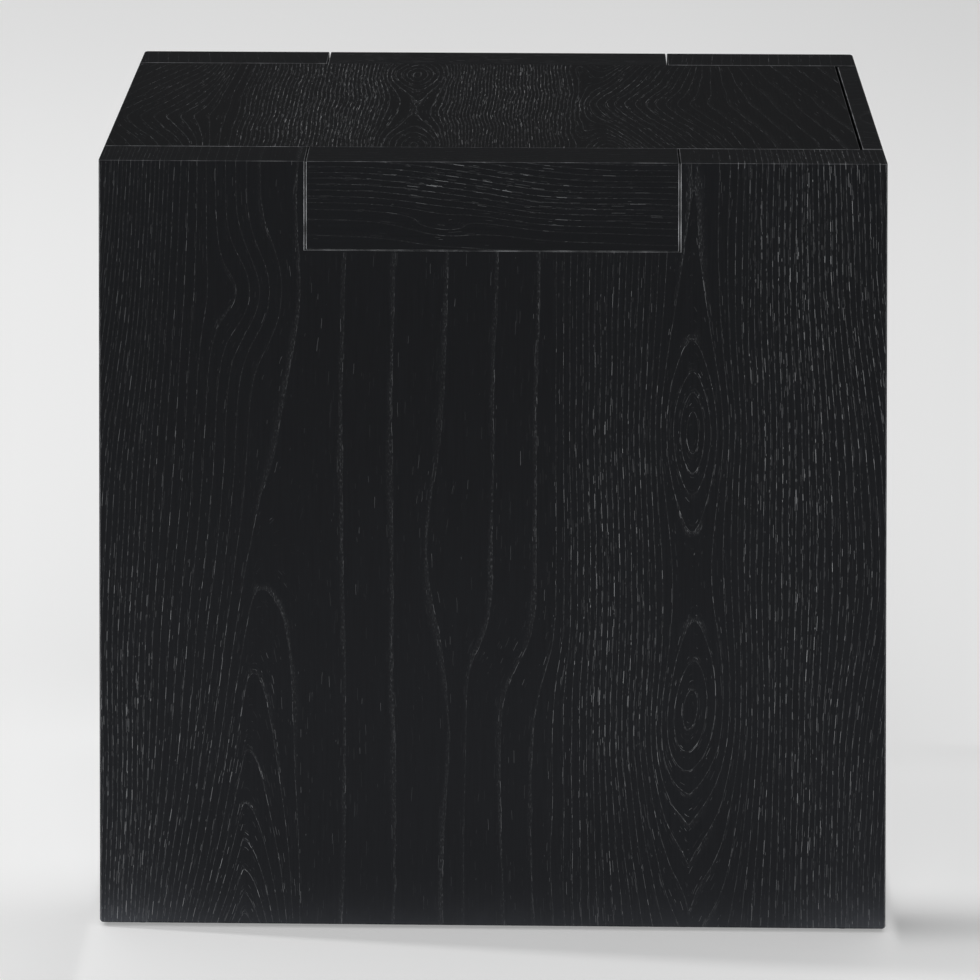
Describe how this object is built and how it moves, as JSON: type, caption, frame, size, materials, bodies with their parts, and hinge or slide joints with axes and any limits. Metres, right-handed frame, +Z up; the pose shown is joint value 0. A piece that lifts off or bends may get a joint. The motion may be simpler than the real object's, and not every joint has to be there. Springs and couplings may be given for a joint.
{
  "type": "apple box storage seat",
  "caption": "Black oak apple-box style storage box with a lift-off lid keyed into the front and rear boards and a hinged end door on a touch latch.",
  "frame": {"origin": "centre of the base panel's underside, level with the lower ends of the boards; the floor is 2 mm lower, under the glides", "axes": "+Z up, +X from the closed left end towards the door end, +Y from the front board towards the rear board"},
  "size_m": [0.465, 0.23, 0.452],
  "materials": {
    "oak_face_boards": "black stained open-pore oak, matt lacquer, upright grain",
    "oak_panels": "black stained open-pore oak, matt lacquer",
    "oak_tabs": "black stained open-pore oak, matt lacquer, level grain",
    "oak_inner_strips": "black stained oak, matt, sawn and sanded",
    "dowel_wood": "plain beech",
    "glide_plastic": "matt black plastic",
    "hinge_metal": "black satin coated steel",
    "screw_steel": "black zinc plated",
    "latch_plastic": "fine textured black plastic",
    "magnet_nickel": "nickel plated",
    "spring_steel": "bright drawn wire",
    "strike_steel": "zinc plated"
  },
  "bodies": {
    "carcass": {"front_board": "oak_face_boards", "rear_board": "oak_face_boards", "left_end_panel": "oak_panels", "base_panel": "oak_panels", "floor_glides": "glide_plastic", "left_panel_dowels": "dowel_wood", "base_panel_dowels": "dowel_wood", "lid_ledger_front_left": "oak_inner_strips", "lid_ledger_front_right": "oak_inner_strips", "lid_ledger_rear_left": "oak_inner_strips", "lid_ledger_rear_right": "oak_inner_strips", "ledger_screws": "screw_steel", "lower_hinge_frame_leaf": "hinge_metal", "lower_hinge_pin": "hinge_metal", "upper_hinge_frame_leaf": "hinge_metal", "upper_hinge_pin": "hinge_metal", "hinge_frame_screws": "screw_steel", "latch_housing": "latch_plastic", "latch_spring": "spring_steel", "latch_screws": "screw_steel"},
    "lid": {"top_board": "oak_panels", "front_tab": "oak_tabs", "rear_tab": "oak_tabs", "front_tab_block": "oak_inner_strips", "rear_tab_block": "oak_inner_strips", "lid_tab_dowels": "dowel_wood", "tab_block_screws": "screw_steel"},
    "door": {"door_panel": "oak_panels", "lower_hinge_door_leaf": "hinge_metal", "upper_hinge_door_leaf": "hinge_metal", "hinge_door_screws": "screw_steel", "strike_plate": "strike_steel", "strike_screw": "screw_steel"},
    "latch_plunger": {"latch_plunger": "latch_plastic", "latch_magnet": "magnet_nickel"}
  },
  "joints": [
    {"name": "lid_lift", "type": "slide", "parent": "carcass", "child": "lid", "axis": [0, 0, 1], "range_m": [0, 0.12]},
    {"name": "door_hinge", "type": "hinge", "parent": "carcass", "child": "door", "pos_m": [0.2325, 0.0869, 0.225], "axis": [0, 0, 1], "range_deg": [0, 175]},
    {"name": "latch_push", "type": "slide", "parent": "carcass", "child": "latch_plunger", "axis": [1, 0, 0], "range_m": [-0.0015, 0], "stiffness_N_per_m": 150, "springref_m": 0.004}
  ]
}
